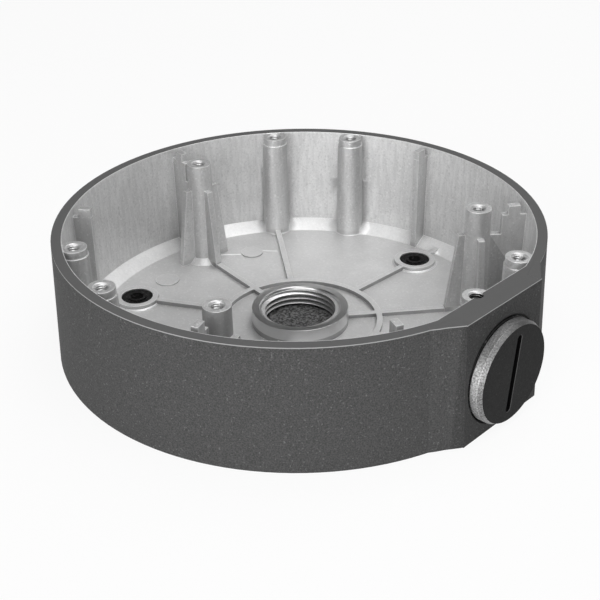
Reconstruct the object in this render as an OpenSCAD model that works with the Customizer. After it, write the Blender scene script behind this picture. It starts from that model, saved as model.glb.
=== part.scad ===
// Camera junction box.
// A round die-cast back box for a dome camera, open towards +Z.
// Origin: centre of the flat underside. +X: side conduit entry with its screw plug.
// All the inner fixings come in three equal sectors of 120 degrees.

/* [Body] */
// Outer diameter at the open rim
rim_d = 160; // [152:1:190]
// Height from the underside to the rim
body_h = 41; // [40:1:60]
// Wall thickness at the rim
wall_t = 3.4; // [2.6:0.2:4.4]
// Floor thickness
floor_t = 2; // [1.8:0.1:3]
// Outward lean of the outer wall towards the underside, in degrees
outer_draft = 2; // [0.5:0.5:3]
// Inward lean of the inner wall towards the floor, in degrees
inner_draft = 1.3; // [0.5:0.1:2]
// Width of the bevel between wall and floor
bevel_w = 5; // [3:0.5:6]
// Height of the bevel between wall and floor
bevel_h = 3; // [2:0.5:4]

/* [Conduit entry] */
// Width of flat pad left beside the plug's seat
pad_land = 1.05; // [0.6:0.05:4]
// How far the pad stands out of the round wall at the rim
pad_proud = 1.5; // [1:0.1:3]
// Wall thickness behind the pad at the rim
pad_wall_t = 8; // [7:0.5:10]
// Corner radius of the pad
pad_corner_r = 2; // [1:0.5:3]
// Radius of the hollow fillets beside the pad
pad_fillet_r = 7; // [4:1:9]
// Height of the entry's axis above the underside
entry_z = 18.3; // [18:0.1:22]
// Depth of the machined seat below the pad's face at the rim
entry_seat_depth = 0.3; // [0.2:0.1:0.8]
// Clearance round the plug's head in its seat
entry_seat_gap = 1; // [0.5:0.1:1.2]

/* [Pipe thread] */
// Major diameter of the pipe thread
thread_d = 26.44; // [24:0.01:28]
// Radial clearance of the plug in its thread
thread_gap = 0.08; // [0.05:0.01:0.1]
// Lead-in chamfer of each threaded hole
thread_lead_in = 0.7; // [0.3:0.1:1]

/* [Entry plug] */
// How far the plug's head reaches beyond its thread
plug_lip = 2.98; // [2.4:0.02:3.6]
// Thickness of the plug's head
plug_head_t = 4.1; // [3:0.1:6]
// Width of the chamfer on the head's edge, across the face
plug_bevel_w = 0.7; // [0.3:0.1:1.5]
// Height of the chamfer on the head's edge, along the axis
plug_bevel_h = 1.4; // [0.5:0.1:2]
// Length of the plug's threaded stub behind the gasket
plug_stub_l = 6.8; // [6:0.1:7]
// Length of the coin slot
slot_l = 25.4; // [16:0.2:27]
// Width of the coin slot
slot_w = 1.9; // [1.4:0.1:3]
// Depth of the coin slot
slot_depth = 1.8; // [1:0.1:2.5]
// Turn of the slot away from upright, in degrees
slot_turn = 7.4; // [0:0.1:90]
// Thickness of the gasket
gasket_t = 1; // [0.6:0.1:1.5]
// Step from the plug's head in to the gasket's edge
gasket_step = 0.4; // [0:0.1:1]

/* [Centre entry] */
// Height of the threaded boss above the underside
centre_boss_h = 8; // [7:0.5:12]
// Wall of the threaded boss
centre_boss_t = 3.2; // [2.4:0.2:5]
// How far the blanking disc reaches beyond the thread
disc_lip = 1.88; // [1.4:0.02:2.6]
// Thickness of the blanking disc
disc_t = 1; // [0.8:0.1:1.2]
// Depth of the disc's recess in the underside
disc_recess = 1.5; // [1.4:0.1:1.6]
// Distance of the disc above the underside
disc_lift = 0.1; // [0:0.05:0.2]
// Radial clearance of the disc in its recess
disc_gap = 0.05; // [0.02:0.01:0.1]

/* [Cover fixings] */
// Turn of the inner fixings away from the entry's axis, in degrees
fixing_turn = -2; // [-4:0.5:4]
// Angle between the two bosses of a pair, in degrees
boss_spread = 22.7; // [18:0.1:26]
// Distance of the boss axes in from the inner wall
boss_inset = 3.5; // [3:0.1:4.5]
// Diameter of a boss at its top
boss_d = 9.2; // [8:0.1:11]
// Extra diameter of a boss at its foot
boss_flare = 1.2; // [0.5:0.1:2]
// Height of the turned collar on a boss
collar_h = 2.5; // [1:0.1:4]
// Step from the boss in to its collar
collar_step = 0.4; // [0.2:0.1:0.6]
// Drop of the boss tops below the rim
boss_drop = 0.2; // [0.1:0.1:1]
// Diameter of the tapped screw holes
tap_d = 4.2; // [3:0.1:5]
// Depth of the tapped screw holes in the bosses
boss_tap_depth = 8; // [6:0.5:8]

/* [Camera posts] */
// Distance of the post axes in from the inner wall
post_inset = 16.3; // [15:0.1:18]
// Angle from the first boss to the first post, in degrees
post_angle = 52.5; // [48:0.5:56]
// Diameter of a post at its top
post_d = 8.6; // [8:0.1:11]
// Extra diameter of a post at its foot
post_flare = 1; // [0.5:0.1:2]
// Drop of the post tops below the rim
post_drop = 0.4; // [0.2:0.1:4]
// Depth of the tapped screw holes in the posts
post_tap_depth = 14; // [8:1:20]
// Thickness of the gussets round a post
gusset_t = 2.2; // [1.6:0.1:3]
// Reach of a gusset beyond the post at its top
gusset_top = 2.2; // [1:0.1:4]
// Reach of a gusset beyond the post at the floor
gusset_foot = 5.4; // [4:0.1:7]
// Drop of the gussets below the rim
gusset_drop = 9.8; // [8:0.1:16]

/* [Wall ribs] */
// Thickness of the wall ribs
rib_t = 2.4; // [1.6:0.1:3]
// Angle from a post's rib to the next free rib, in degrees
rib_spread = 45; // [40:1:48]
// Reach of a free rib in from the inner wall
rib_reach = 6.4; // [5:0.1:8]
// Reach of a post's rib in from the inner wall, down to its step
rib_post_reach = 8.3; // [7:0.1:9]
// Drop of the ledges below the rim
ledge_drop = 3.1; // [2:0.1:5]
// Drop of the step on a post's rib
step_drop = 10.1; // [7:0.1:16]
// Length of the nub on a rib, along the radius
nub_l = 4; // [3:0.1:4.5]
// Gap between a nub and the wall
nub_gap = 2.3; // [1:0.1:2.4]

/* [Mounting points] */
// Distance of the mounting points in from the inner wall
mount_inset = 16.6; // [15:0.1:20]
// Angle from the first post to the first mounting point, in degrees
mount_angle = 37.5; // [34:0.5:41]
// Outer diameter of the ring round a mounting point
mount_ring_d = 15; // [14:0.5:18]
// Height of the ring above the floor
mount_ring_h = 1.7; // [1:0.1:3]
// Diameter of the grommet
grommet_d = 11; // [10:0.1:12]
// Diameter of the grommet's neck in the floor
grommet_neck_d = 7; // [6:0.1:8]
// Floor left under the grommet's flange
grommet_seat = 1.2; // [1:0.1:1.4]
// Diameter of the screw hole in the grommet
grommet_hole_d = 4.6; // [4.6:0.1:5]
// Drop of the grommet's flange below the ring
grommet_drop = 0.5; // [0.2:0.1:0.9]
// Width of the raised lip round the grommet's hole
grommet_lip_w = 1; // [0.6:0.1:1.1]
// Clearance round the grommet
grommet_gap = 0.05; // [0.02:0.01:0.1]

/* [Floor ribs] */
// Radius of the ring rib round the centre entry
ring_rib_r = 27.2; // [24:0.2:32]
// Thickness of the floor ribs
floor_rib_t = 2; // [1.2:0.1:3]
// Height of the floor ribs above the floor
floor_rib_h = 1.5; // [0.8:0.1:2]

/* [Hidden] */
$fn = 96;
// Small overlap that lets joined solids fuse and cuts run clear
fuse = 0.5;
// Share of a wall that a joined rib runs into
bite = 0.5;

rim_r = rim_d / 2;
base_r = rim_r + body_h * tan(outer_draft);
inner_r = rim_r - wall_t;
// Inner wall radius at a height above the underside
function inner_r_at(z) = inner_r - (body_h - z) * tan(inner_draft);

thread_r = thread_d / 2;
plug_r = thread_r - thread_gap;
head_r = thread_r + plug_lip;
gasket_hole_r = thread_r + thread_gap;
gasket_r = head_r - gasket_step;
seat_r = head_r + entry_seat_gap;
disc_r = thread_r + disc_lip;
centre_boss_r = thread_r + centre_boss_t;

pad_w = 2 * (seat_r + pad_land);
pad_x = rim_r + pad_proud;
pad_inner_x = pad_x - pad_wall_t;
seat_x = pad_x - entry_seat_depth;
head_x = seat_x + gasket_t;

sectors = [0, 120, 240];
boss_ring_r = inner_r - boss_inset;
boss_angles = [for (s = sectors) for (b = [0, boss_spread]) fixing_turn + s + b];
boss_top_z = body_h - boss_drop;

post_ring_r = inner_r - post_inset;
post_angles = [for (s = sectors) fixing_turn + post_angle + s];
post_top_z = body_h - post_drop;
gusset_z = body_h - gusset_drop;

ledge_z = body_h - ledge_drop;
step_z = body_h - step_drop;
nub_out_r = inner_r - nub_gap;

mount_ring_r = inner_r - mount_inset;
mount_angles = [for (a = post_angles) a + mount_angle];
mount_ring_z = floor_t + mount_ring_h;
flange_z = mount_ring_z - grommet_drop;
floor_rib_z = floor_t + floor_rib_h;

// Copies of the children on a circle, turned to face outwards
module on_circle(radius, angles) {
    for (a = angles)
        rotate(a)
            translate([radius, 0, 0])
                children();
}

// A plate standing on the radius, from its side outline in radius and height
module radial_plate(outline, thickness) {
    rotate([90, 0, 0])
        linear_extrude(thickness, center = true)
            polygon(outline);
}

// Plan of the pad: a flat front, round corners and hollow sides that run into the wall
module pad_plan() {
    side_y = pad_w / 2;
    root_y = side_y + pad_fillet_r;
    corner_x = pad_x - pad_corner_r;
    hollow_x = sqrt(pow(rim_r + pad_fillet_r - fuse / 2, 2) - pow(root_y, 2));
    difference() {
        union() {
            translate([pad_inner_x - fuse, -root_y])
                square([hollow_x - pad_inner_x + fuse, 2 * root_y]);
            translate([pad_inner_x - fuse, -side_y])
                square([corner_x - pad_inner_x + fuse, pad_w]);
            translate([pad_inner_x - fuse, -side_y + pad_corner_r])
                square([pad_wall_t + fuse, pad_w - 2 * pad_corner_r]);
            for (side = [-1, 1])
                translate([corner_x, side * (side_y - pad_corner_r)])
                    circle(pad_corner_r);
        }
        for (side = [-1, 1])
            translate([hollow_x, side * root_y])
                circle(pad_fillet_r);
        translate([-rim_r, -rim_r])
            square([rim_r + pad_inner_x, rim_d]);
    }
}

// Round flared wall and the pad, still solid
module outer_form() {
    cylinder(h = body_h, r1 = base_r, r2 = rim_r, $fn = 180);
    intersection() {
        translate([0, 0, body_h])
            rotate([0, -outer_draft, 0])
                linear_extrude(3 * body_h, center = true)
                    pad_plan();
        translate([0, -pad_w, 0])
            cube([2 * rim_r, 2 * pad_w, body_h]);
    }
}

// Inside space, flat behind the pad
module cavity() {
    difference() {
        translate([0, 0, floor_t])
            cylinder(h = body_h - floor_t + fuse,
                     r1 = inner_r_at(floor_t), r2 = inner_r_at(body_h + fuse), $fn = 180);
        translate([pad_inner_x, -rim_r, 0])
            cube([rim_r, rim_d, body_h + 2 * fuse]);
        floor_bevel();
    }
}

// Sloping band between wall and floor
module floor_bevel() {
    wall_r = inner_r_at(floor_t);
    rotate_extrude($fn = 180)
        polygon([[wall_r - bevel_w, floor_t - fuse], [wall_r + fuse, floor_t - fuse],
                 [wall_r + fuse, floor_t + bevel_h], [wall_r, floor_t + bevel_h],
                 [wall_r - bevel_w, floor_t]]);
}

// Screw boss for the cover, with a turned collar at its top
module cover_boss() {
    collar_z = boss_top_z - collar_h;
    cylinder(h = collar_z, d1 = boss_d + boss_flare, d2 = boss_d);
    cylinder(h = boss_top_z, d = boss_d - 2 * collar_step);
}

// Nub that locates the cover on top of a rib
function nub_outline(z) = [[nub_out_r - nub_l, z], [nub_out_r - nub_l, body_h],
                           [nub_out_r, body_h], [nub_out_r, z]];

// Rib that stands free on the wall
module free_rib() {
    wall_in = inner_r + bite * wall_t;
    rib_in = inner_r - rib_reach;
    radial_plate(concat([[wall_in, floor_t - fuse], [rib_in, floor_t - fuse], [rib_in, ledge_z]],
                        nub_outline(ledge_z), [[wall_in, ledge_z]]), rib_t);
}

// Rib that ties a post to the wall, with a step down to the post
module post_rib() {
    wall_in = inner_r + bite * wall_t;
    step_r = inner_r - rib_post_reach;
    radial_plate(concat([[wall_in, floor_t - fuse], [post_ring_r, floor_t - fuse],
                         [post_ring_r, step_z], [step_r, step_z], [step_r, ledge_z]],
                        nub_outline(ledge_z), [[wall_in, ledge_z]]), rib_t);
}

// Tall post for the camera's screws, with three gussets and a bevelled foot
module camera_post() {
    top_r = post_d / 2;
    foot_r = top_r + post_flare / 2;
    cylinder(h = post_top_z, r1 = foot_r, r2 = top_r);
    translate([0, 0, floor_t - fuse])
        cylinder(h = fuse + post_flare + 1, r1 = foot_r + post_flare + 1 + fuse, r2 = foot_r);
    for (a = [90, 180, 270])
        rotate(a)
            radial_plate([[0, floor_t - fuse], [foot_r + gusset_foot, floor_t - fuse],
                          [foot_r + gusset_foot, floor_t], [top_r + gusset_top, gusset_z],
                          [0, gusset_z]], gusset_t);
}

// Ring that holds a grommet
module mount_ring() {
    cylinder(h = mount_ring_z, d1 = mount_ring_d + floor_rib_h / 2, d2 = mount_ring_d);
}

// Low rib on the floor along the radius
module floor_rib(from_r, to_r) {
    translate([from_r, -floor_rib_t / 2, floor_t - fuse])
        cube([to_r - from_r, floor_rib_t, floor_rib_h + fuse]);
}

// Ring rib and radial ribs that stiffen the floor
module floor_ribs() {
    translate([0, 0, floor_t - fuse])
        difference() {
            cylinder(h = floor_rib_h + fuse, r = ring_rib_r + floor_rib_t / 2);
            translate([0, 0, -fuse])
                cylinder(h = floor_rib_h + 3 * fuse, r = ring_rib_r - floor_rib_t / 2);
        }
    for (a = post_angles)
        rotate(a)
            floor_rib(centre_boss_r - fuse, post_ring_r);
    for (a = mount_angles)
        rotate(a) {
            floor_rib(ring_rib_r, mount_ring_r);
            floor_rib(mount_ring_r, inner_r_at(floor_t));
        }
    for (s = sectors)
        rotate(fixing_turn + boss_spread + s)
            floor_rib(ring_rib_r, boss_ring_r);
}

// Everything that the floor and the wall carry inside
module fittings() {
    on_circle(boss_ring_r, boss_angles)
        cover_boss();
    for (a = post_angles) {
        rotate(a)
            post_rib();
        rotate(a + rib_spread)
            free_rib();
    }
    on_circle(post_ring_r, post_angles)
        camera_post();
    on_circle(mount_ring_r, mount_angles)
        mount_ring();
    cylinder(h = centre_boss_h, r1 = centre_boss_r + centre_boss_h * tan(inner_draft),
             r2 = centre_boss_r);
    floor_ribs();
}

// Blind hole tapped down from a height
module tapped_hole(top_z, depth) {
    translate([0, 0, top_z - depth])
        cylinder(h = depth + body_h, d = tap_d);
}

// Threaded way down through the centre boss, with the disc's recess under it
module centre_bore() {
    translate([0, 0, -fuse]) {
        cylinder(h = centre_boss_h + 2 * fuse, r = thread_r);
        cylinder(h = disc_recess + fuse, r = disc_r + disc_gap);
    }
    translate([0, 0, centre_boss_h - thread_lead_in])
        cylinder(h = thread_lead_in + fuse, r1 = thread_r, r2 = thread_r + thread_lead_in + fuse);
}

// Threaded way in through the pad and past the boss behind it, with the seat for the gasket
module side_bore() {
    way_in = boss_ring_r - boss_d;
    translate([0, 0, entry_z])
        rotate([0, 90, 0]) {
            translate([0, 0, way_in])
                cylinder(h = base_r - way_in, r = thread_r);
            translate([0, 0, seat_x])
                cylinder(h = base_r, r = seat_r);
            translate([0, 0, pad_inner_x - fuse])
                cylinder(h = thread_lead_in + fuse, r1 = thread_r + thread_lead_in + fuse, r2 = thread_r);
        }
}

// Stepped hole for a grommet
module grommet_hole() {
    translate([0, 0, -fuse])
        cylinder(h = mount_ring_z + 2 * fuse, r = grommet_neck_d / 2 + grommet_gap);
    translate([0, 0, grommet_seat])
        cylinder(h = mount_ring_z, r = grommet_d / 2 + grommet_gap);
}

module housing() {
    color("dimgray")
        difference() {
            union() {
                difference() {
                    outer_form();
                    cavity();
                }
                fittings();
            }
            on_circle(boss_ring_r, boss_angles)
                tapped_hole(boss_top_z, boss_tap_depth);
            on_circle(post_ring_r, post_angles)
                tapped_hole(post_top_z, post_tap_depth);
            on_circle(mount_ring_r, mount_angles)
                grommet_hole();
            centre_bore();
            side_bore();
        }
}

// Slot with round ends, cut across the plug's head
module coin_slot() {
    translate([0, 0, head_x + plug_head_t - slot_depth])
        linear_extrude(slot_depth + fuse)
            rotate(slot_turn) {
                square([slot_l - slot_w, slot_w], center = true);
                for (side = [-1, 1])
                    translate([side * (slot_l - slot_w) / 2, 0])
                        circle(d = slot_w);
            }
}

module entry_plug() {
    stub_start = seat_x - plug_stub_l;
    face_x = head_x + plug_head_t;
    color("#3b3b3b")
        translate([0, 0, entry_z])
            rotate([0, 90, 0])
                difference() {
                    rotate_extrude()
                        polygon([[0, stub_start], [plug_r - thread_lead_in, stub_start],
                                 [plug_r, stub_start + thread_lead_in], [plug_r, head_x],
                                 [head_r, head_x], [head_r, face_x - plug_bevel_h],
                                 [head_r - plug_bevel_w, face_x], [0, face_x]]);
                    coin_slot();
                }
}

module entry_gasket() {
    color("#161616")
        translate([0, 0, entry_z])
            rotate([0, 90, 0])
                rotate_extrude()
                    translate([gasket_hole_r, seat_x])
                        square([gasket_r - gasket_hole_r, gasket_t]);
}

module blanking_disc() {
    color("#4a4a4a")
        translate([0, 0, disc_lift])
            cylinder(h = disc_t, r = disc_r);
}

// Rubber grommet: neck in the floor, flange on the seat and a raised lip round the screw
module grommet() {
    hole_r = grommet_hole_d / 2;
    neck_r = grommet_neck_d / 2;
    color("#141414")
        rotate_extrude()
            polygon([[hole_r, 0], [neck_r, 0], [neck_r, grommet_seat],
                     [grommet_d / 2, grommet_seat], [grommet_d / 2, flange_z],
                     [hole_r + grommet_lip_w, flange_z], [hole_r + grommet_lip_w, mount_ring_z],
                     [hole_r, mount_ring_z]]);
}

module grommet_at(number) {
    on_circle(mount_ring_r, [mount_angles[number - 1]])
        grommet();
}

housing();
entry_plug();
entry_gasket();
blanking_disc();
grommet_at(1);  // grommet_1
grommet_at(2);  // grommet_2
grommet_at(3);  // grommet_3
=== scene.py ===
# %% [markdown]
# This lesson dresses the solid model of a camera junction box, a round die-cast back box for a
# dome camera. The solid model gives every shape its place in metres, with +Z out of the open
# side and +X through the screw plug. Blender adds what the solids leave out: the threads, the
# turned and cast surfaces, the paint, the light and the camera.
# %% Load the frame
import math

import bmesh
import bpy
from mathutils import Matrix, Vector


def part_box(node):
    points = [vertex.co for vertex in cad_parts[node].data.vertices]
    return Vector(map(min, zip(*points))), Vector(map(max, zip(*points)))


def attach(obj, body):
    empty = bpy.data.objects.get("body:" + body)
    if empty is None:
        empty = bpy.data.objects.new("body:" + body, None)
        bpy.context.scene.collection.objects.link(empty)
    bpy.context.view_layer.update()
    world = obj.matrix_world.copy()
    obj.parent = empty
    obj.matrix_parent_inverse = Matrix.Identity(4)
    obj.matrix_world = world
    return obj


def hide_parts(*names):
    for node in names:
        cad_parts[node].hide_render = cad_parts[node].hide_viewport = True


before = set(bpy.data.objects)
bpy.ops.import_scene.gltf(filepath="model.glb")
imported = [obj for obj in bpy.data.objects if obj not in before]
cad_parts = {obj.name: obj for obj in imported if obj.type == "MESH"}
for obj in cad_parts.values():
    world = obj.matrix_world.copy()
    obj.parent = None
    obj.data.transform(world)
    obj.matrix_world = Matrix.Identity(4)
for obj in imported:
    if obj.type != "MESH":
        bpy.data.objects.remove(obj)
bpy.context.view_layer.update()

MM = 0.001
print("nodes:", sorted(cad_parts))

# %% [markdown]
# The camera comes first, because every later choice is judged through it. The picture was taken
# from the front, a little to the plug's side, and from about 26 degrees above the rim. The view
# is described by the direction from the rim's centre to the camera, by a small extra pitch that
# lifts the box in the frame, and by a small roll.
# %% Camera
RIM_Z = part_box("housing")[1].z
CAM_AZIMUTH = math.radians(43.8)
CAM_ELEVATION = math.radians(25.618)
CAM_PITCH = math.radians(3.96)
CAM_ROLL = math.radians(0.824)
CAM_DISTANCE = 385.92 * MM
FOCAL_SHARE = 1177.2 / 600
SENSOR = 36.0


def look_direction(azimuth, elevation):
    """Unit vector from the object to a camera that stands at these angles."""
    return Vector((math.sin(azimuth) * math.cos(elevation),
                   -math.cos(azimuth) * math.cos(elevation), math.sin(elevation)))


def make_camera():
    back = look_direction(CAM_AZIMUTH, CAM_ELEVATION + CAM_PITCH)
    right = Vector((0, 0, 1)).cross(back).normalized()
    up = back.cross(right)
    side = math.cos(CAM_ROLL) * right - math.sin(CAM_ROLL) * up
    head = math.sin(CAM_ROLL) * right + math.cos(CAM_ROLL) * up
    place = Vector((0, 0, RIM_Z)) + CAM_DISTANCE * look_direction(CAM_AZIMUTH, CAM_ELEVATION)
    data = bpy.data.cameras.new("camera")
    data.sensor_width = SENSOR
    data.sensor_fit = "HORIZONTAL"
    data.lens = FOCAL_SHARE * SENSOR
    data.clip_start = 0.01
    camera = bpy.data.objects.new("camera", data)
    bpy.context.scene.collection.objects.link(camera)
    turn = Matrix((side, head, back)).transposed().to_4x4()
    camera.matrix_world = Matrix.Translation(place) @ turn
    bpy.context.scene.camera = camera
    return camera


camera = make_camera()
print("camera at", [round(c, 4) for c in camera.matrix_world.translation],
      "lens", round(camera.data.lens, 1), "mm")

# %% [markdown]
# A material is a small tree of nodes. These helpers keep the trees short: one adds a node and
# links or sets its inputs, and others stand for the sums and curves that come up again and
# again. All patterns read Object coordinates in metres, so they stay on the piece in any view.
# %% Node helpers
def new_material(name):
    material = bpy.data.materials.new(name)
    material.use_nodes = True
    material.node_tree.nodes.clear()
    return material, material.node_tree


def add_node(tree, kind, inputs=None, **settings):
    """A node with its settings, and its inputs linked to sockets or set to values."""
    node = tree.nodes.new(kind)
    for key, value in settings.items():
        setattr(node, key, value)
    for key, value in (inputs or {}).items():
        if isinstance(value, bpy.types.NodeSocket):
            tree.links.new(value, node.inputs[key])
        else:
            node.inputs[key].default_value = value
    return node


def math_node(tree, operation, *values):
    inputs = {index: value for index, value in enumerate(values)}
    return add_node(tree, "ShaderNodeMath", inputs, operation=operation).outputs[0]


def smooth_step(tree, value, low, high, out_low=0.0, out_high=1.0):
    """Soft change from out_low to out_high while the value goes from low to high."""
    node = add_node(tree, "ShaderNodeMapRange",
                    {"Value": value, "From Min": low, "From Max": high,
                     "To Min": out_low, "To Max": out_high})
    node.interpolation_type = "SMOOTHSTEP"
    return node.outputs[0]


def mix_colour(tree, share, first, second, blend="MIX"):
    node = add_node(tree, "ShaderNodeMix", data_type="RGBA", blend_type=blend)
    for socket, value in (("Factor_Float", share), ("A_Color", first), ("B_Color", second)):
        target = next(s for s in node.inputs if s.identifier == socket)
        if isinstance(value, bpy.types.NodeSocket):
            tree.links.new(value, target)
        elif socket == "Factor_Float":
            target.default_value = value
        else:
            target.default_value = (*value, 1.0)
    return next(s for s in node.outputs if s.identifier == "Result_Color")


def mix_value(tree, share, first, second):
    node = add_node(tree, "ShaderNodeMix", data_type="FLOAT")
    for socket, value in (("Factor_Float", share), ("A_Float", first), ("B_Float", second)):
        target = next(s for s in node.inputs if s.identifier == socket)
        if isinstance(value, bpy.types.NodeSocket):
            tree.links.new(value, target)
        else:
            target.default_value = value
    return next(s for s in node.outputs if s.identifier == "Result_Float")


def grey(level):
    return (level, level, level)


def noise(tree, place, scale, detail=2.0, roughness=0.5, distortion=0.0):
    return add_node(tree, "ShaderNodeTexNoise",
                    {"Vector": place, "Scale": scale, "Detail": detail,
                     "Roughness": roughness, "Distortion": distortion}).outputs["Fac"]


def stretched(tree, place, x=1.0, y=1.0, z=1.0):
    """Coordinates scaled along each axis, to stretch a pattern."""
    return add_node(tree, "ShaderNodeMapping", {"Vector": place, "Scale": (x, y, z)}).outputs[0]


def object_place(tree):
    return add_node(tree, "ShaderNodeTexCoord").outputs["Object"]


def finish_surface(tree, normal, colour, metallic, roughness):
    """Principled surface with its output."""
    shader = add_node(tree, "ShaderNodeBsdfPrincipled",
                      {"Base Color": colour, "Metallic": metallic, "Roughness": roughness,
                       "Normal": normal, "Specular IOR Level": 0.07})
    add_node(tree, "ShaderNodeOutputMaterial", {"Surface": shader.outputs[0]})
    return shader


def bump(tree, height, distance, strength=1.0, normal=None):
    inputs = {"Height": height, "Distance": distance, "Strength": strength}
    if normal is not None:
        inputs["Normal"] = normal
    return add_node(tree, "ShaderNodeBump", inputs).outputs[0]


print("node helpers ready")

# %% [markdown]
# The box is one casting with two looks. Powder paint with a fine sandy sparkle covers the
# outside, the rim and the pad, and the inside is bare cast aluminium. The line between them is
# the contour of the inner wall, so a mask is worked out from the same sizes as the solid: the
# wall's radius at each height and the flat behind the pad. The bore of the side entry is
# bare as well, inside its thread.
# %% Mask of paint and bare metal
INNER_R = 76.6 * MM
INNER_LEAN = math.tan(math.radians(1.3))
PAD_INNER_X = 73.5 * MM
ENTRY_Z = 18.3 * MM
THREAD_R = 13.22 * MM
PAINT_EDGE = 0.10 * MM


def paint_mask(tree, place):
    """1 on painted faces and 0 on bare ones, with a fine edge."""
    axes = add_node(tree, "ShaderNodeSeparateXYZ", {"Vector": place})
    x, y, z = axes.outputs
    radius = math_node(tree, "SQRT", math_node(tree, "ADD", math_node(tree, "MULTIPLY", x, x),
                                               math_node(tree, "MULTIPLY", y, y)))
    drop = math_node(tree, "SUBTRACT", RIM_Z, z)
    wall = math_node(tree, "SUBTRACT", INNER_R, math_node(tree, "MULTIPLY", drop, INNER_LEAN))
    past_wall = math_node(tree, "SUBTRACT", radius, wall)
    past_pad = math_node(tree, "SUBTRACT", x, PAD_INNER_X)
    past = math_node(tree, "MAXIMUM", past_wall, past_pad)
    outside = smooth_step(tree, past, PAINT_EDGE, 2.5 * PAINT_EDGE)
    under = smooth_step(tree, z, 0.6 * MM, 0.4 * MM)
    across = math_node(tree, "SUBTRACT", z, ENTRY_Z)
    from_axis = math_node(tree, "SQRT", math_node(tree, "ADD",
                                                  math_node(tree, "MULTIPLY", y, y),
                                                  math_node(tree, "MULTIPLY", across, across)))
    in_entry = math_node(tree, "MULTIPLY",
                         smooth_step(tree, from_axis, THREAD_R + 0.2 * MM, THREAD_R + 0.1 * MM),
                         smooth_step(tree, x, 70.0 * MM, 70.1 * MM))
    painted = math_node(tree, "SUBTRACT", math_node(tree, "MAXIMUM", outside, under), in_entry)
    painted = math_node(tree, "MAXIMUM", painted, 0.0)
    slope = math_node(tree, "MULTIPLY", smooth_step(tree, radius, 70.7 * MM, 71.0 * MM),
                      smooth_step(tree, z, 5.3 * MM, 5.1 * MM))
    wall_zone = math_node(tree, "MAXIMUM", slope,
                          smooth_step(tree, past, -3.0 * PAINT_EDGE, -PAINT_EDGE))
    return painted, wall_zone, radius, x, y, z


print("paint mask follows the inner wall of radius", INNER_R)

# %% [markdown]
# The casting's material mixes both looks with that mask. Paint is a dark grey with speckles and
# a sandy bump. Bare metal is bright and quite rough, with cloudy flow marks, fine sparkle and
# streaks down the walls, and the screw faces are turned smooth. A Bevel node rounds the sharp
# edges of the solid a little, and where it bends the surface the edge is painted lighter, as a
# painted highlight.
# %% Casting material
PAINT_GREY = 0.084
METAL_GREY = 0.80
# The walls, the floor and the raised parts of the one bare metal get their own brightness: painted
# light and shade.
WALL_LEVEL = 1.06
RAISED_AND_FLOOR = (0.96, 0.93)
# How much darker the turned centre boss is made: painted shade.
BOSS_LEVEL = 0.84
CENTRE_BOSS = (16.5 * MM, 2.6 * MM)
LOW_SIDE_SHADE = 0.5
FLANK_SHADE = 0.25
# Width of the painted highlight along the top of the outer wall.
RIM_HIGHLIGHT = 0.3 * MM


def edge_share(tree, soft, low, high):
    """How far the Bevel node's normal leans away from the flat face, from 0 to 1."""
    flat = add_node(tree, "ShaderNodeNewGeometry").outputs["Normal"]
    dot = add_node(tree, "ShaderNodeVectorMath", {0: soft, 1: flat}, operation="DOT_PRODUCT")
    return smooth_step(tree, math_node(tree, "SUBTRACT", 1.0, dot.outputs["Value"]), low, high)


def paint_colour(tree, place, base):
    """Sandy paint: a fine grain with light specks and faint clouds."""
    grain = noise(tree, place, 2300.0, 2.0, 0.6)
    specks = smooth_step(tree, noise(tree, place, 1500.0, 1.0, 0.5), 0.64, 0.76)
    cloud = noise(tree, place, 60.0, 3.0, 0.5)
    paint = mix_colour(tree, smooth_step(tree, grain, 0.3, 0.7), grey(base * 0.72),
                       grey(base * 1.28))
    paint = mix_colour(tree, math_node(tree, "MULTIPLY", specks, 0.5), paint, grey(base * 3.0))
    paint = mix_colour(tree, math_node(tree, "MULTIPLY", cloud, 0.2), paint, grey(base * 0.8))
    return paint, grain


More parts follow.
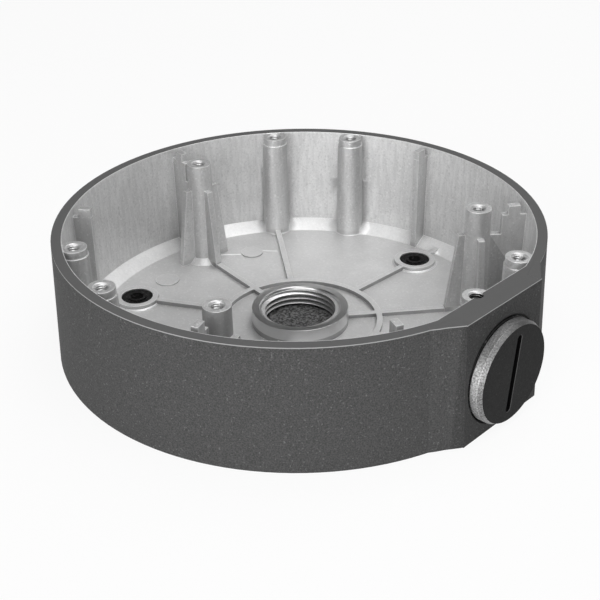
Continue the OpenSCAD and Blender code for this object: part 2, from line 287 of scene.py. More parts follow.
def casting_material():
    material, tree = new_material("cast_and_painted")
    place = object_place(tree)
    painted, wall_zone, radius, x, y, z = paint_mask(tree, place)
    floor_zone = smooth_step(tree, z, 2.5 * MM, 2.3 * MM)
    soft = add_node(tree, "ShaderNodeBevel", {"Radius": 0.3 * MM}, samples=6).outputs[0]
    edge = edge_share(tree, soft, 0.006, 0.07)
    paint, grain = paint_colour(tree, place, PAINT_GREY)
    upward = add_node(tree, "ShaderNodeSeparateXYZ",
                      {"Vector": add_node(tree, "ShaderNodeNewGeometry").outputs["Normal"]})
    # Painted light: level faces of the paint, such as the rim top, are made lighter than the steep
    # ones.
    lit_level_face = smooth_step(tree, upward.outputs[2], 0.85, 0.95)
    steep = smooth_step(tree, math_node(tree, "ABSOLUTE", upward.outputs[2]), 0.45, 0.2)
    paint = mix_colour(tree, lit_level_face, paint, grey(PAINT_GREY * 1.55))
    # Painted shade: the steep front and side faces of the pad are made darker.
    on_pad = math_node(tree, "MULTIPLY", steep, smooth_step(tree, x, 80.2 * MM, 81.0 * MM))
    paint = mix_colour(tree, math_node(tree, "MULTIPLY", on_pad, 0.3), paint, grey(0.02))
    # Painted highlight: a thin light line along the top of the outer wall, where its edge meets the
    # rim.
    rim_highlight = math_node(tree, "MULTIPLY", steep,
                         smooth_step(tree, z, RIM_Z - RIM_HIGHLIGHT - 0.05 * MM, RIM_Z - RIM_HIGHLIGHT))
    paint = mix_colour(tree, rim_highlight, paint, grey(0.40))

    flow = noise(tree, place, 45.0, 4.0, 0.6, 0.6)
    high_wall = smooth_step(tree, z, 5.1 * MM, 5.4 * MM)
    streak = noise(tree, stretched(tree, place, 1.0, 1.0, 0.14), 800.0, 2.0, 0.6)
    sparkle = noise(tree, place, 1300.0, 2.0, 0.6)
    # Painted light and shade: each zone of the bare metal is scaled to its own brightness.
    level = mix_value(tree, wall_zone, mix_value(tree, floor_zone, *RAISED_AND_FLOOR), WALL_LEVEL)
    metal = mix_colour(tree, smooth_step(tree, flow, 0.3, 0.7), grey(METAL_GREY * 0.95),
                       grey(METAL_GREY * 1.04))
    metal = mix_colour(tree, 1.0, metal, level, "MULTIPLY")
    streaked = math_node(tree, "MULTIPLY", smooth_step(tree, streak, 0.35, 0.65),
                         mix_value(tree, high_wall, 0.12, 0.27))
    metal = mix_colour(tree, streaked, metal, grey(METAL_GREY * 0.7))
    pitted = math_node(tree, "MULTIPLY", smooth_step(tree, sparkle, 0.45, 0.32),
                       mix_value(tree, high_wall, 0.1, 0.3))
    metal = mix_colour(tree, pitted, metal, grey(METAL_GREY * 0.55))
    metal = mix_colour(tree, math_node(tree, "MULTIPLY", smooth_step(tree, sparkle, 0.58, 0.7),
                                       mix_value(tree, high_wall, 0.35, 0.6)), metal, grey(1.0))
    # Painted shade: ambient occlusion darkens corners and recesses of the bare metal.
    near = add_node(tree, "ShaderNodeAmbientOcclusion", {"Distance": 8 * MM}, samples=6)
    painted_crevice_shade = smooth_step(tree, near.outputs["AO"], 0.72, 0.15, 0.0, 0.72)
    metal = mix_colour(tree, painted_crevice_shade, metal, grey(METAL_GREY * 0.35))
    # Painted highlight: where the Bevel node bends the normal, the edge is made nearly white.
    metal = mix_colour(tree, edge, metal, grey(1.0))

    centre_r, centre_z = CENTRE_BOSS
    turned = math_node(tree, "MULTIPLY",
                       smooth_step(tree, radius, centre_r + 0.1 * MM, centre_r),
                       smooth_step(tree, z, centre_z, centre_z + 0.4 * MM))
    # The turned top of the centre boss is smooth and fully metallic, and its darker colour is
    # painted shade.
    metal = mix_colour(tree, turned, metal, grey(METAL_GREY * BOSS_LEVEL))
    # Painted shade: the steep sides of low things on the floor, such as the floor ribs, are darker,
    # less so near the centre.
    low_side = math_node(tree, "MULTIPLY", steep, smooth_step(tree, z, 3.9 * MM, 3.8 * MM))
    low_side = math_node(tree, "MULTIPLY", low_side,
                         smooth_step(tree, radius, 54.0 * MM, 51.5 * MM, 0.15, 1.0))
    # Painted shade: steep faces that face across the radius, such as the sides of ribs and gussets,
    # are darker.
    across = math_node(tree, "SUBTRACT", math_node(tree, "MULTIPLY", upward.outputs[1], x),
                       math_node(tree, "MULTIPLY", upward.outputs[0], y))
    across = math_node(tree, "ABSOLUTE", math_node(tree, "DIVIDE", across, radius))
    flank = math_node(tree, "MULTIPLY", steep, smooth_step(tree, across, 0.5, 0.97))
    flank = math_node(tree, "MULTIPLY", flank, smooth_step(tree, z, 3.9 * MM, 4.0 * MM))
    metal = mix_colour(tree, math_node(tree, "MULTIPLY", flank, FLANK_SHADE), metal, grey(0.2))
    # Painted shade: steep faces close to the front wall are made darker.
    shaded = math_node(tree, "MULTIPLY", steep, smooth_step(tree, y, -40.0 * MM, -46.0 * MM))
    shaded = math_node(tree, "MULTIPLY", shaded, smooth_step(tree, radius, 70.0 * MM, 69.0 * MM))
    metal = mix_colour(tree, math_node(tree, "MULTIPLY", shaded, 0.45), metal, grey(0.15))
    metal = mix_colour(tree, math_node(tree, "MULTIPLY", low_side, LOW_SIDE_SHADE), metal,
                       grey(0.12))

    colour = mix_colour(tree, painted, metal, paint)
    chalky = mix_value(tree, wall_zone, mix_value(tree, floor_zone, 0.85, 0.8), 0.6)
    metallic = mix_value(tree, painted, mix_value(tree, turned, chalky, 1.0), 0.1)
    rough_metal = smooth_step(tree, sparkle, 0.3, 0.7, 0.46, 0.58)
    rough = mix_value(tree, painted, mix_value(tree, turned, rough_metal, 0.3), 0.7)
    height = mix_value(tree, painted, sparkle, grain)
    normal = bump(tree, height, 0.04 * MM, 0.7, soft)
    finish_surface(tree, normal, colour, metallic, rough)
    return material


def dress(node, material):
    """Gives a node of the solid model its material."""
    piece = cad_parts[node]
    piece.data.materials.clear()
    piece.data.materials.append(material)
    return piece


casting = casting_material()
print("casting material has", len(casting.node_tree.nodes), "nodes")

# %% [markdown]
# The pad's front is milled flat after casting, and the solid still has about 1.5 mm of stock on
# it. The dressed housing is a merged copy of the solid with that stock cut off by one plane, which
# leans as the wall does. The cut is closed again round the seat of the plug. The mouths of the
# nine tapped holes are widened into small countersinks, which catch the light.
# %% Housing
PAD_FACE_X = 81.5 * MM
WALL_LEAN = math.radians(2.0)
BOSS_RING_R = 73.1 * MM
BOSS_TOP_Z = RIM_Z - 0.2 * MM
POST_RING_R = 60.3 * MM
POST_TOP_Z = RIM_Z - 0.4 * MM
FIXING_TURN = -2.0
COUNTERSINK_REACH = 2.6 * MM
COUNTERSINK_DEPTH = 0.5 * MM
COUNTERSINK_GROWTH = 1.27


def new_object(name, bm, *materials):
    """A linked object made from a bmesh, with its materials."""
    mesh = bpy.data.meshes.new(name)
    bm.to_mesh(mesh)
    bm.free()
    piece = bpy.data.objects.new(name, mesh)
    bpy.context.scene.collection.objects.link(piece)
    for material in materials:
        mesh.materials.append(material)
    return piece


def hole_places():
    """Top of each tapped hole: six cover bosses and three posts."""
    places = []
    for sector in (0, 120, 240):
        for turn, radius, top in ((0.0, BOSS_RING_R, BOSS_TOP_Z), (22.7, BOSS_RING_R, BOSS_TOP_Z),
                                  (52.5, POST_RING_R, POST_TOP_Z)):
            angle = math.radians(FIXING_TURN + turn + sector)
            places.append(Vector((radius * math.cos(angle), radius * math.sin(angle), top)))
    return places


def countersink(bm, place):
    """Cuts the bore wall a little below its mouth, then widens the mouth into a cone."""
    near = [vert for vert in bm.verts if (vert.co.xy - place.xy).length < COUNTERSINK_REACH]
    bore = {face for vert in near for face in vert.link_faces
            if all(other in near for other in face.verts) and abs(face.normal.z) < 0.3}
    parts = list({item for face in bore for item in (*face.verts, *face.edges)}) + list(bore)
    bmesh.ops.bisect_plane(bm, geom=parts, dist=1e-7, plane_no=(0, 0, 1),
                           plane_co=(place.x, place.y, place.z - COUNTERSINK_DEPTH))
    mouth = [vert for vert in near if vert.is_valid and abs(vert.co.z - place.z) < 1e-5]
    for vert in mouth:
        vert.co.xy = place.xy + (vert.co.xy - place.xy) * COUNTERSINK_GROWTH
    return len(mouth)


def make_housing():
    bm = bmesh.new()
    bm.from_mesh(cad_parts["housing"].data)
    bmesh.ops.remove_doubles(bm, verts=bm.verts, dist=1e-6)
    print("mouth points widened:", [countersink(bm, place) for place in hole_places()])
    front = Vector((math.cos(WALL_LEAN), 0, math.sin(WALL_LEAN)))
    cut = bmesh.ops.bisect_plane(bm, geom=bm.verts[:] + bm.edges[:] + bm.faces[:], dist=1e-7,
                                 plane_co=(PAD_FACE_X, 0, RIM_Z), plane_no=front,
                                 clear_outer=True)
    rim = [item for item in cut["geom_cut"]
           if isinstance(item, bmesh.types.BMEdge) and item.is_boundary]
    bmesh.ops.triangle_fill(bm, edges=rim, use_beauty=True, normal=front)
    print("open edges left:", sum(edge.is_boundary for edge in bm.edges))
    return new_object("cast_housing", bm, casting)


housing = make_housing()
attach(housing, "box")
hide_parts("housing")
print("housing:", len(housing.data.polygons), "faces in", casting.name)

# %% [markdown]
# The rubber of the grommets and of the gasket is moulded black, a little dusty, with small pits,
# and the gasket is the smoother of the two.
# The disc in the bottom of the centre entry is dark painted sheet with a coarse grain.
# %% Rubber and disc
def rubber_material(name, gloss_rough):
    material, tree = new_material(name)
    place = object_place(tree)
    pits = noise(tree, place, 1400.0, 3.0, 0.6)
    dust = smooth_step(tree, noise(tree, place, 900.0, 2.0, 0.5), 0.55, 0.72)
    colour = mix_colour(tree, dust, grey(0.010), grey(0.045))
    soft = add_node(tree, "ShaderNodeBevel", {"Radius": 0.25 * MM}, samples=4).outputs[0]
    normal = bump(tree, pits, 0.1 * MM, 0.7, soft)
    finish_surface(tree, normal, colour, 0.0, gloss_rough)
    return material


def disc_material():
    material, tree = new_material("dark_sheet")
    place = object_place(tree)
    grain = noise(tree, place, 1100.0, 3.0, 0.65)
    colour = mix_colour(tree, smooth_step(tree, grain, 0.35, 0.7), grey(0.035), grey(0.22))
    normal = bump(tree, grain, 0.15 * MM, 0.8)
    finish_surface(tree, normal, colour, 0.2, 0.55)
    return material


rubber = rubber_material("moulded_rubber", 0.42)
for node in ("grommet_1", "grommet_2", "grommet_3"):
    dress(node, rubber)
entry_rubber = rubber_material("pressed_rubber", 0.2)
dress("blanking_disc", disc_material())
print("rubber and dark sheet are on the small parts")

# %% [markdown]
# A screw thread is one profile carried round a screw line. The profile of a pipe thread is a
# ridge with sloping flanks, so four points are spun about the axis and lifted by one pitch each
# turn. A plane then cuts both ends square, where the real thread runs out into a chamfer.
# %% Thread helper
PIPE_PITCH = 1.814 * MM
ROOT_SHARE = 0.41
CREST_SHARE = 0.05


def spin_ridge(root_r, crest_r, pitch, low, high, steps=48):
    """bmesh of a thread ridge about +Z between two heights, ridge centre at angle 0 on low."""
    bm = bmesh.new()
    turns = math.ceil((high - low) / pitch) + 2
    start = low - pitch
    outline = [(root_r, -ROOT_SHARE), (crest_r, -CREST_SHARE),
               (crest_r, CREST_SHARE), (root_r, ROOT_SHARE)]
    verts = [bm.verts.new((radius, 0, start + share * pitch)) for radius, share in outline]
    edges = [bm.edges.new((verts[i], verts[(i + 1) % 4])) for i in range(4)]
    bmesh.ops.spin(bm, geom=verts + edges, cent=(0, 0, 0), axis=(0, 0, 1),
                   dvec=(0, 0, pitch / steps), angle=2 * math.pi * turns, steps=turns * steps,
                   use_merge=False, use_duplicate=False)
    for height, side in ((low, -1), (high, 1)):
        cut = bmesh.ops.bisect_plane(bm, geom=bm.verts[:] + bm.edges[:] + bm.faces[:],
                                     dist=1e-7, plane_co=(0, 0, height),
                                     plane_no=(0, 0, side), clear_outer=True)
        rim = [item for item in cut["geom_cut"] if isinstance(item, bmesh.types.BMEdge)]
        bmesh.ops.holes_fill(bm, edges=[edge for edge in rim if edge.is_boundary], sides=0)
    bmesh.ops.remove_doubles(bm, verts=bm.verts, dist=1e-7)
    bmesh.ops.recalc_face_normals(bm, faces=bm.faces)
    return bm


print("pipe thread pitch", PIPE_PITCH)

# %% [markdown]
# The centre entry and the side entry have the same inside thread. Each is a ridge on the wall
# of the plain bore in the solid, cut a little bright by the tap.
# %% Entry threads
CREST_R = 12.06 * MM
ROOT_R = THREAD_R + 0.05 * MM
CENTRE_THREAD = (1.55 * MM, 7.3 * MM)
SIDE_THREAD = (74.3 * MM, 81.15 * MM)
SIDE_TURN = Matrix.Rotation(math.radians(90), 4, "Y")


def cut_thread_material():
    material, tree = new_material("tapped_metal")
    place = object_place(tree)
    scratch = noise(tree, place, 1500.0, 2.0, 0.6)
    soft = add_node(tree, "ShaderNodeBevel", {"Radius": 0.12 * MM}, samples=4).outputs[0]
    edge = edge_share(tree, soft, 0.01, 0.1)
    # Painted shade: ambient occlusion darkens the thread's grooves and recesses.
    near = add_node(tree, "ShaderNodeAmbientOcclusion", {"Distance": 2 * MM}, samples=6)
    painted_crevice_shade = smooth_step(tree, near.outputs["AO"], 0.6, 0.2)
    colour = mix_colour(tree, scratch, grey(0.62), grey(0.85))
    colour = mix_colour(tree, painted_crevice_shade, colour, grey(0.03))
    axes = add_node(tree, "ShaderNodeSeparateXYZ", {"Vector": place}).outputs
    by_pad = math_node(tree, "MULTIPLY", smooth_step(tree, axes[0], 70.9 * MM, 71.1 * MM),
                       smooth_step(tree, axes[2], 34.0 * MM, 34.2 * MM))
    # Painted highlight: the thread's rounded edges are made nearly white.
    colour = mix_colour(tree, edge, colour, grey(1.0))
    colour = mix_colour(tree, by_pad, colour, grey(0.02))
    finish_surface(tree, bump(tree, scratch, 0.03 * MM, 0.5, soft), colour, 0.9, 0.38)
    return material


cut_metal = cut_thread_material()
bm = spin_ridge(ROOT_R, CREST_R, PIPE_PITCH, *CENTRE_THREAD)
centre_thread = new_object("centre_thread", bm, cut_metal)
bm = spin_ridge(ROOT_R, CREST_R, PIPE_PITCH, *SIDE_THREAD)
bmesh.ops.transform(bm, matrix=Matrix.Translation((0, 0, ENTRY_Z)) @ SIDE_TURN, verts=bm.verts)
side_thread = new_object("side_thread", bm, cut_metal)
for piece in (centre_thread, side_thread):
    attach(piece, "box")
    print(piece.name, len(piece.data.polygons), "faces")

# %% [markdown]
# The nine screw holes are tapped as well. At this size a thread is only a few bright rings down
# the hole, but they keep the holes from looking drilled. One small ridge is made and copied.
# %% Screw threads
SCREW_PITCH = 0.8 * MM
SCREW_ROOT_R = 2.13 * MM
SCREW_CREST_R = 1.84 * MM
SCREW_DEPTH = 5.0 * MM


def make_screw_threads():
    bm = spin_ridge(SCREW_ROOT_R, SCREW_CREST_R, SCREW_PITCH, -SCREW_DEPTH, -0.55 * MM, steps=20)
    first = bm.verts[:] + bm.edges[:] + bm.faces[:]
    places = hole_places()
    for place in places[1:]:
        copy = bmesh.ops.duplicate(bm, geom=first)["geom"]
        verts = [item for item in copy if isinstance(item, bmesh.types.BMVert)]
        bmesh.ops.translate(bm, verts=verts, vec=place)
    verts = [item for item in first if isinstance(item, bmesh.types.BMVert)]
    bmesh.ops.translate(bm, verts=verts, vec=places[0])
    return new_object("screw_threads", bm, cut_metal)


screw_threads = make_screw_threads()
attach(screw_threads, "box")
print(len(hole_places()), "tapped holes,", len(screw_threads.data.polygons), "faces")

# %% [markdown]
# The plug is turned from bar and closes the side entry. Its head has a plain side and a small
# chamfer with a bright peened look, and a dark painted face with a coin slot. The body is a
# profile spun about the axis. The face is filled between the rim and the slot's outline, and the
# slot's edge is then pushed in. All of it is made about +Z and turned to +X at the end.
# %% Plug
PLUG_HEAD_R = 16.4 * MM
PLUG_HEAD_X = (82.2 * MM, 86.3 * MM)
PLUG_BEVEL = (0.7 * MM, 1.4 * MM)
PLUG_CORE_R = 11.98 * MM
PLUG_CREST_R = 13.14 * MM
PLUG_START_X = 74.4 * MM
SLOT_SIZE = (25.4 * MM, 2.3 * MM, 1.8 * MM)
SLOT_BREAK = 0.13 * MM
SLOT_TURN = math.radians(-7.4)


def plug_face_material():
    material, tree = new_material("plug_paint")
    place = object_place(tree)
    paint, grain = paint_colour(tree, place, 0.017)
    along = add_node(tree, "ShaderNodeSeparateXYZ", {"Vector": place}).outputs[0]
    face_x = PLUG_HEAD_X[1]
    paint = mix_colour(tree, smooth_step(tree, along, face_x - 0.005 * MM, face_x - 0.03 * MM),
                       paint, grey(0.11))
    # Painted shade: the walls and bottom of the slot are made nearly black.
    paint = mix_colour(tree, smooth_step(tree, along, face_x - SLOT_BREAK,
                                         face_x - SLOT_BREAK - 0.03 * MM), paint, grey(0.004))
    soft = add_node(tree, "ShaderNodeBevel", {"Radius": 0.15 * MM}, samples=4).outputs[0]
    finish_surface(tree, bump(tree, grain, 0.02 * MM, 0.6, soft), paint, 0.0, 0.55)
    return material


def plug_band_material():
    material, tree = new_material("plug_peened")
    place = object_place(tree)
    dents = add_node(tree, "ShaderNodeTexVoronoi", {"Vector": place, "Scale": 1500.0},
                     feature="F1").outputs["Distance"]
    grain = noise(tree, place, 2200.0, 2.0, 0.6)
    colour = mix_colour(tree, smooth_step(tree, grain, 0.35, 0.65), grey(0.36), grey(0.8))
    along = add_node(tree, "ShaderNodeSeparateXYZ", {"Vector": place}).outputs[0]
    chamfer_x = PLUG_HEAD_X[1] - PLUG_BEVEL[1]
    on_chamfer = smooth_step(tree, along, chamfer_x, chamfer_x + 0.1 * MM)
    on_chamfer = math_node(tree, "MULTIPLY", on_chamfer,
                           smooth_step(tree, along, PLUG_HEAD_X[1] - 0.01 * MM,
                                       PLUG_HEAD_X[1] - 0.06 * MM))
    # Painted shade: the chamfer gets a darker copy of the band's metal.
    colour = mix_colour(tree, on_chamfer, colour,
                        mix_colour(tree, smooth_step(tree, grain, 0.35, 0.65), grey(0.14),
                                   grey(0.34)))
    # Painted shade: the upward-facing part of the head's side is made darker.
    upward = add_node(tree, "ShaderNodeSeparateXYZ",
                      {"Vector": add_node(tree, "ShaderNodeNewGeometry").outputs["Normal"]})
    colour = mix_colour(tree, smooth_step(tree, upward.outputs[2], 0.35, 0.95, 0.0, 0.75), colour,
                        grey(0.12))
    soft = add_node(tree, "ShaderNodeBevel", {"Radius": 0.15 * MM}, samples=4).outputs[0]
    finish_surface(tree, bump(tree, dents, 0.08 * MM, 0.7, soft), colour, 0.85, 0.5)
    return material


def spin_outline(bm, outline, steps=96):
    """Spins (radius, height) points about +Z and merges the ends."""
    verts = [bm.verts.new((radius, 0, height)) for radius, height in outline]
    edges = [bm.edges.new(pair) for pair in zip(verts, verts[1:])]
    bmesh.ops.spin(bm, geom=verts + edges, cent=(0, 0, 0), axis=(0, 0, 1),
                   angle=2 * math.pi, steps=steps, use_merge=True, use_duplicate=False)
    bmesh.ops.remove_doubles(bm, verts=bm.verts, dist=1e-7)


def slot_loop(bm, height, spread):
    """Outline of the slot: a small circle whose halves are moved apart."""
    length, width, depth = SLOT_SIZE
    loop = bmesh.ops.create_circle(bm, segments=24, radius=width / 2 + spread)["verts"]
    half_step = Matrix.Rotation(math.pi / 24, 4, "Z")
    bmesh.ops.transform(bm, matrix=half_step, verts=loop)
    for side in (-1, 1):
        half = [vert for vert in loop if vert.co.x * side > 0]
        bmesh.ops.translate(bm, verts=half, vec=(side * (length - width) / 2, 0, 0))
    place = Matrix.Translation((0, 0, height)) @ Matrix.Rotation(SLOT_TURN, 4, "Z")
    bmesh.ops.transform(bm, matrix=place, verts=loop)
    return list({edge for vert in loop for edge in vert.link_edges})


def make_plug():
    bm = bmesh.new()
    low, high = PLUG_HEAD_X
    bevel_w, bevel_h = PLUG_BEVEL
    spin_outline(bm, [(0, PLUG_START_X), (PLUG_CORE_R - 0.6 * MM, PLUG_START_X),
                      (PLUG_CORE_R, PLUG_START_X + 0.6 * MM), (PLUG_CORE_R, low),
                      (PLUG_HEAD_R - 0.2 * MM, low), (PLUG_HEAD_R, low + 0.2 * MM),
                      (PLUG_HEAD_R, high - bevel_h), (PLUG_HEAD_R - bevel_w, high)])
    for face in bm.faces:
        face.material_index = 1
    rim = [edge for edge in bm.edges if edge.is_boundary]
    outer = slot_loop(bm, high, SLOT_BREAK)
    filled = bmesh.ops.triangle_fill(bm, edges=rim + outer, use_beauty=True)["geom"]
    for face in (item for item in filled if isinstance(item, bmesh.types.BMFace)):
        face.material_index = 0
    inner = slot_loop(bm, high - SLOT_BREAK, 0)
    bmesh.ops.bridge_loops(bm, edges=outer + inner)
    wall = bmesh.ops.extrude_edge_only(bm, edges=inner)["geom"]
    verts = [item for item in wall if isinstance(item, bmesh.types.BMVert)]
    bmesh.ops.translate(bm, verts=verts, vec=(0, 0, -SLOT_SIZE[2]))
    bottom = [item for item in wall
              if isinstance(item, bmesh.types.BMEdge) and item.is_boundary]
    bmesh.ops.holes_fill(bm, edges=bottom, sides=0)
    bmesh.ops.recalc_face_normals(bm, faces=bm.faces)
    ridge = spin_ridge(PLUG_CORE_R - 0.05 * MM, PLUG_CREST_R, PIPE_PITCH,
                       SIDE_THREAD[0] + PIPE_PITCH / 2, low - 0.9 * MM)
    ridge_mesh = bpy.data.meshes.new("ridge")
    for face in ridge.faces:
        face.material_index = 1
    ridge.to_mesh(ridge_mesh)
    ridge.free()
    bm.from_mesh(ridge_mesh)
    bpy.data.meshes.remove(ridge_mesh)
    bmesh.ops.transform(bm, matrix=Matrix.Translation((0, 0, ENTRY_Z)) @ SIDE_TURN, verts=bm.verts)
    return new_object("screw_plug", bm, plug_face_material(), plug_band_material())


plug = make_plug()
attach(plug, "plug")
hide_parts("entry_plug")
print("plug:", len(plug.data.polygons), "faces")

# %% [markdown]
# The head squeezes its rubber ring against the seat, so the ring bulges a little and shows in
# the gap round the head.
# %% Gasket
GASKET_X = (81.2 * MM, 82.2 * MM)
GASKET_R = (13.6 * MM, 16.25 * MM, 16.75 * MM)


def make_gasket():
    bm = bmesh.new()
    low, high = GASKET_X
    inner_r, flat_r, bulge_r = GASKET_R
    bulge = [(flat_r + (bulge_r - flat_r) * math.sin(math.radians(angle)),
              (low + high) / 2 - (high - low) / 2 * math.cos(math.radians(angle)))
             for angle in range(0, 181, 20)]
    outline = [(inner_r, low)] + bulge + [(inner_r, high), (inner_r, low)]
    spin_outline(bm, outline)
    for face in bm.faces:
        face.smooth = True
    bmesh.ops.recalc_face_normals(bm, faces=bm.faces)
    bmesh.ops.transform(bm, matrix=Matrix.Translation((0, 0, ENTRY_Z)) @ SIDE_TURN, verts=bm.verts)
    return new_object("pressed_gasket", bm, entry_rubber)


gasket = make_gasket()
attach(gasket, "gasket")
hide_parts("entry_gasket")
print("gasket:", len(gasket.data.polygons), "faces")

# %% [markdown]
# Ejector pins push the casting out of its die and leave round pads on the floor. Two of them
# show beside the post. Between the post and the nearest floor rib the floor also rises by a
# small step, with a sloping front that catches the light. Small sloping rings round the feet of
# the mounting rings and cover bosses stand for their fillets, and two slim wedges carry the
# sides of the trimmed pad over into the round wall.
# %% Floor details and pad sides
FLOOR_Z = 2.0 * MM
EJECTOR_PADS = [(191.4, 57.3 * MM, 4.3 * MM), (153.0, 54.9 * MM, 4.1 * MM)]
PAD_RISE = 0.45 * MM
STEP_LINE = [(142.9, 53.0), (147.8, 54.4), (153.0, 54.6), (158.4, 55.0), (164.2, 57.9),
             (166.5, 58.5)]
STEP_RISE = 0.15
MOUNT_ANGLES = (88.0, 208.0, 328.0)
MOUNT_RING_R = 60.0 * MM
MOUNT_FOOT_R = 7.8 * MM
BOSS_FOOT_R = 5.0 * MM
FOOT_SIZE = 0.55 * MM
FLANK_PLAN = [(81.49, 17.4), (81.4, 18.15), (80.9, 19.0), (79.7, 20.6), (78.1, 22.7), (76.75, 24.9),
              (75.33, 26.9), (73.5, 26.0), (77.0, 17.4)]


def make_ejector_pads():
    bm = bmesh.new()
    for angle, ring_r, pad_r in EJECTOR_PADS:
        turn = math.radians(angle)
        centre = Vector((ring_r * math.cos(turn), ring_r * math.sin(turn), FLOOR_Z))
        bmesh.ops.create_cone(bm, cap_ends=True, segments=48, radius1=pad_r, radius2=pad_r,
                              depth=2 * PAD_RISE, matrix=Matrix.Translation(centre))
    return new_object("ejector_pads", bm, casting)


def make_floor_step():
    """A thin raised plate whose front edge follows STEP_LINE and slopes gently down."""
    bm = bmesh.new()
    rows = []
    for angle, near in STEP_LINE:
        turn = math.radians(angle)
        section = [(near, 1.9), (near + 0.6, 2.0 + STEP_RISE), (70.0, 2.0 + STEP_RISE), (71.2, 1.9)]
        rows.append([bm.verts.new((radius * MM * math.cos(turn), radius * MM * math.sin(turn),
                                   height * MM)) for radius, height in section])
    for row, following in zip(rows, rows[1:]):
        for i in range(3):
            bm.faces.new((row[i], row[i + 1], following[i + 1], following[i]))
    bmesh.ops.recalc_face_normals(bm, faces=bm.faces)
    return new_object("floor_step", bm, casting)


def make_foot_fillets():
    """Small sloping rings where the mounting rings and the cover bosses meet the floor."""
    bm = bmesh.new()
    spots = [(place, BOSS_FOOT_R) for place in hole_places() if place.xy.length > 65 * MM]
    for angle in MOUNT_ANGLES:
        turn = math.radians(angle)
        spots.append((MOUNT_RING_R * Vector((math.cos(turn), math.sin(turn), 0)), MOUNT_FOOT_R))
    for place, radius in spots:
        before = set(bm.verts)
        section = [(radius - 0.2 * MM, FLOOR_Z - 0.1 * MM), (radius + FOOT_SIZE, FLOOR_Z),
                   (radius - 0.1 * MM, FLOOR_Z + FOOT_SIZE)]
        spin_outline(bm, section + section[:1], steps=40)
        fresh = [vert for vert in bm.verts if vert not in before]
        bmesh.ops.translate(bm, verts=fresh, vec=(place.x, place.y, 0))
    bmesh.ops.recalc_face_normals(bm, faces=bm.faces)
    return new_object("foot_fillets", bm, casting)


def make_pad_flanks():
    """Two slim wedges that carry the pad's sides over into the round wall."""
    bm = bmesh.new()
    for side in (-1, 1):
        rings = []
        for height in (0.01 * MM, RIM_Z + 0.01 * MM):
            grow = (RIM_Z - height) * math.tan(WALL_LEAN)
            plan = []
            for x, y in FLANK_PLAN:
                turn = math.radians(max(0.0, 2.0 * (y - 18.0)))
                plan.append((x * MM + grow * math.cos(turn), y * MM + grow * math.sin(turn)))
            rings.append([bm.verts.new((x, side * y, height)) for x, y in plan])
        low, high = rings
        bm.faces.new(high)
        bm.faces.new(low)
        for i in range(len(low)):
            j = (i + 1) % len(low)
            bm.faces.new((low[i], low[j], high[j], high[i]))
    bmesh.ops.recalc_face_normals(bm, faces=bm.faces)
    return new_object("pad_flanks", bm, casting)


for piece in (make_ejector_pads(), make_floor_step(), make_foot_fillets(), make_pad_flanks()):
    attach(piece, "box")
    print(piece.name, len(piece.data.polygons), "faces")

# %% [markdown]
# The stage is a wide pale disc with a low rim, like a photographer's round table with a turned-up
# edge. It shows as white to the camera and to glossy metal, and a share of plain diffuse card in
# it keeps the shadow of the box.
# %% Stage
STAGE_R = 3.0
STAGE_WALL = 0.75
STAGE_GLOW = 0.9


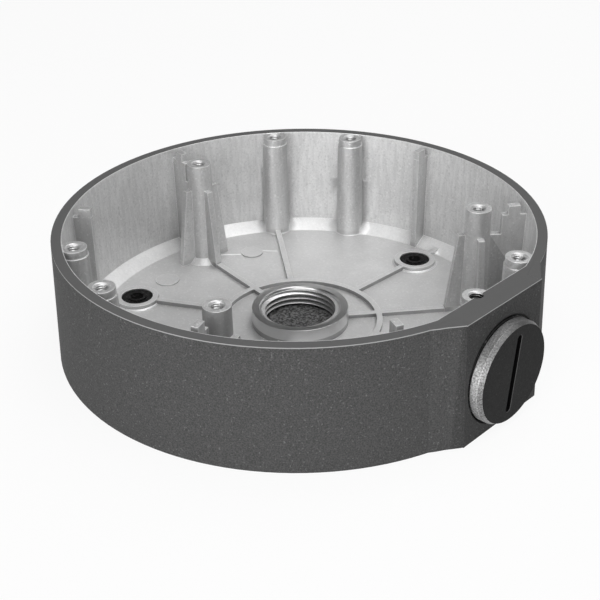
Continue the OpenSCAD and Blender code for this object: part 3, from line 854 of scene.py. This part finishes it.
def make_stage():
    bm = bmesh.new()
    bmesh.ops.create_circle(bm, cap_ends=True, segments=96, radius=STAGE_R)
    edges = [edge for edge in bm.edges if edge.is_boundary]
    wall = bmesh.ops.extrude_edge_only(bm, edges=edges)
    verts = [item for item in wall["geom"] if isinstance(item, bmesh.types.BMVert)]
    bmesh.ops.translate(bm, verts=verts, vec=(0, 0, STAGE_WALL))
    bmesh.ops.translate(bm, verts=bm.verts, vec=(0, 0, -0.05 * MM))
    mesh = bpy.data.meshes.new("stage")
    bm.to_mesh(mesh)
    bm.free()
    stage = bpy.data.objects.new("stage", mesh)
    bpy.context.scene.collection.objects.link(stage)
    material, tree = new_material("pale_stage")
    path = add_node(tree, "ShaderNodeLightPath")
    seen = math_node(tree, "MAXIMUM", path.outputs["Is Camera Ray"], path.outputs["Is Glossy Ray"])
    card = add_node(tree, "ShaderNodeBsdfDiffuse", {"Color": (0.85, 0.85, 0.85, 1)})
    glow = add_node(tree, "ShaderNodeEmission", {"Color": (1, 1, 1, 1), "Strength": 1.0})
    share = math_node(tree, "MULTIPLY", seen, STAGE_GLOW)
    mixed = add_node(tree, "ShaderNodeMixShader", {0: share, 1: card.outputs[0], 2: glow.outputs[0]})
    add_node(tree, "ShaderNodeOutputMaterial", {"Surface": mixed.outputs[0]})
    mesh.materials.append(material)
    return stage


make_stage()
print("stage", STAGE_R, "m wide with a rim of", STAGE_WALL, "m")

# %% [markdown]
# Five soft round lamps stand for the studio: one overhead, one to the plug's side, one behind,
# and two weaker in effect near the camera. Each was first rendered alone, and the powers are the
# shares that together came nearest to the greys of the photograph. The world stays almost black,
# so all light comes from a lamp or from the stage, beside the shade painted into the materials.
# %% Lamps and world
WORLD_GREY = 0.02
LAMPS = [("overhead", 0.0, 88.0, 1.2, 0.8, 3.6), ("right", 90.0, 64.0, 1.2, 0.8, 4.2),
         ("back", 180.0, 60.0, 1.2, 0.8, 3.4), ("left_low", 12.0, 14.0, 1.2, 0.8, 8.0),
         ("camera_side", 44.0, 32.0, 1.2, 0.8, 3.2)]


def make_world():
    world = bpy.data.worlds.new("studio")
    bpy.context.scene.world = world
    world.use_nodes = True
    back = world.node_tree.nodes["Background"]
    back.inputs["Color"].default_value = (*grey(WORLD_GREY), 1.0)
    back.inputs["Strength"].default_value = 1.0


def make_lamp(name, azimuth, elevation, distance, size, power):
    data = bpy.data.lights.new(name, "AREA")
    data.shape = "DISK"
    data.size = size
    data.energy = power
    lamp = bpy.data.objects.new(name, data)
    direction = look_direction(math.radians(azimuth), math.radians(elevation))
    lamp.location = direction * distance
    lamp.rotation_euler = direction.to_track_quat("Z", "Y").to_euler()
    bpy.context.scene.collection.objects.link(lamp)
    return lamp


make_world()
for lamp in LAMPS:
    make_lamp(*lamp)
print(len(LAMPS), "lamps")
bpy.context.scene.view_settings.view_transform = "Standard"
